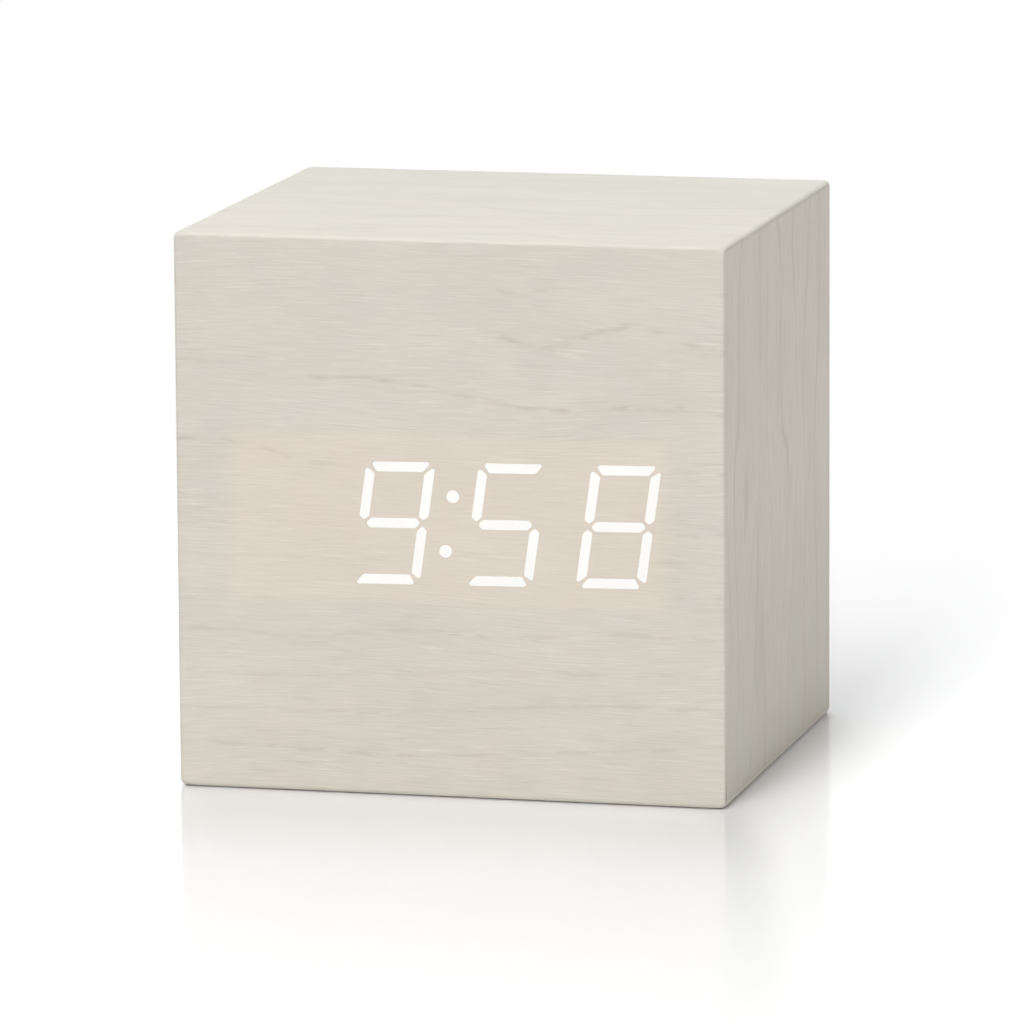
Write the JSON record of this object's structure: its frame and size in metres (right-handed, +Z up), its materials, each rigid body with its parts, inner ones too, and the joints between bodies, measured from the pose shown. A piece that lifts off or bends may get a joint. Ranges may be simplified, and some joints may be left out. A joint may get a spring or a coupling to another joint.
{
  "type": "digital alarm clock",
  "caption": "Cube-shaped digital alarm clock in pale wood veneer, with a lit time display shining through the front, rear buttons, a rear power socket and a battery door in the base.",
  "frame": {"origin": "middle of the base, on the surface that the clock stands on", "axes": "+X to the right of the display, +Y from the display to the rear, +Z up"},
  "size_m": [0.068, 0.062, 0.068],
  "materials": {
    "veneer": "pale whitewashed wood grain, matt",
    "fibreboard": "raw fibreboard",
    "base_board": "pale laminated fibreboard, matt",
    "white_plastic": "matt",
    "lit_resin": "lit white from behind",
    "resin": "milky",
    "lamp": "lamp chips",
    "circuit_board": "satin",
    "chip": "matt",
    "socket_plastic": "satin",
    "screw_steel": "zinc plated",
    "black_plastic": "fine moulded grain",
    "button_plastic": "satin",
    "plunger_plastic": "matt",
    "switch_steel": "plated sheet",
    "nickel": "nickel plated",
    "insert_plastic": "matt",
    "can_metal": "satin",
    "capacitor_sleeve": "satin",
    "grey_cable": "satin",
    "cell_sleeve": "printed sleeve, satin",
    "red_wire": "satin",
    "black_wire": "satin"
  },
  "bodies": {
    "clock_case": {"veneer_wrap": "veneer", "left_veneer": "veneer", "right_veneer": "veneer", "front_panel": "fibreboard", "top_panel": "fibreboard", "rear_panel": "fibreboard", "left_panel": "fibreboard", "right_panel": "fibreboard", "bottom_panel": "base_board", "reflector": "white_plastic", "display_spacers": "white_plastic", "lit_segments": "lit_resin", "unlit_segments": "resin", "led_chips": "lamp", "display_board": "circuit_board", "main_board": "circuit_board", "display_driver": "chip", "controller_chip": "chip", "display_socket": "socket_plastic", "main_socket": "socket_plastic", "display_screws": "screw_steel", "plate_screws": "screw_steel", "board_screws": "screw_steel", "bay_screws": "screw_steel", "control_plate": "black_plastic", "battery_bay": "black_plastic", "switch_bodies": "switch_steel", "usb_shell": "nickel", "contact_plates": "nickel", "contact_springs": "nickel", "backup_cell": "nickel", "backup_cell_clip": "nickel", "usb_insert": "insert_plastic", "buzzer": "insert_plastic", "microphone": "can_metal", "clock_crystal": "can_metal", "filter_capacitor": "capacitor_sleeve", "ribbon_cable": "grey_cable", "batteries": "cell_sleeve", "red_lead": "red_wire", "black_lead": "black_wire"},
    "set_key": {"set_button": "button_plastic", "set_plunger": "plunger_plastic"},
    "up_key": {"up_button": "button_plastic", "up_plunger": "plunger_plastic"},
    "down_key": {"down_button": "button_plastic", "down_plunger": "plunger_plastic"},
    "door": {"battery_door": "black_plastic"}
  },
  "joints": [
    {"name": "set_press", "type": "slide", "parent": "clock_case", "child": "set_key", "axis": [0, -1, 0], "range_m": [0, 0.0005], "stiffness_N_per_m": 1000, "springref_m": -0.0004},
    {"name": "up_press", "type": "slide", "parent": "clock_case", "child": "up_key", "axis": [0, -1, 0], "range_m": [0, 0.0005], "stiffness_N_per_m": 1000, "springref_m": -0.0004},
    {"name": "down_press", "type": "slide", "parent": "clock_case", "child": "down_key", "axis": [0, -1, 0], "range_m": [0, 0.0005], "stiffness_N_per_m": 1000, "springref_m": -0.0004},
    {"name": "door_swing", "type": "hinge", "parent": "clock_case", "child": "door", "pos_m": [0, -0.01565, 0.0015], "axis": [-1, 0, 0], "range_deg": [0, 90]}
  ]
}
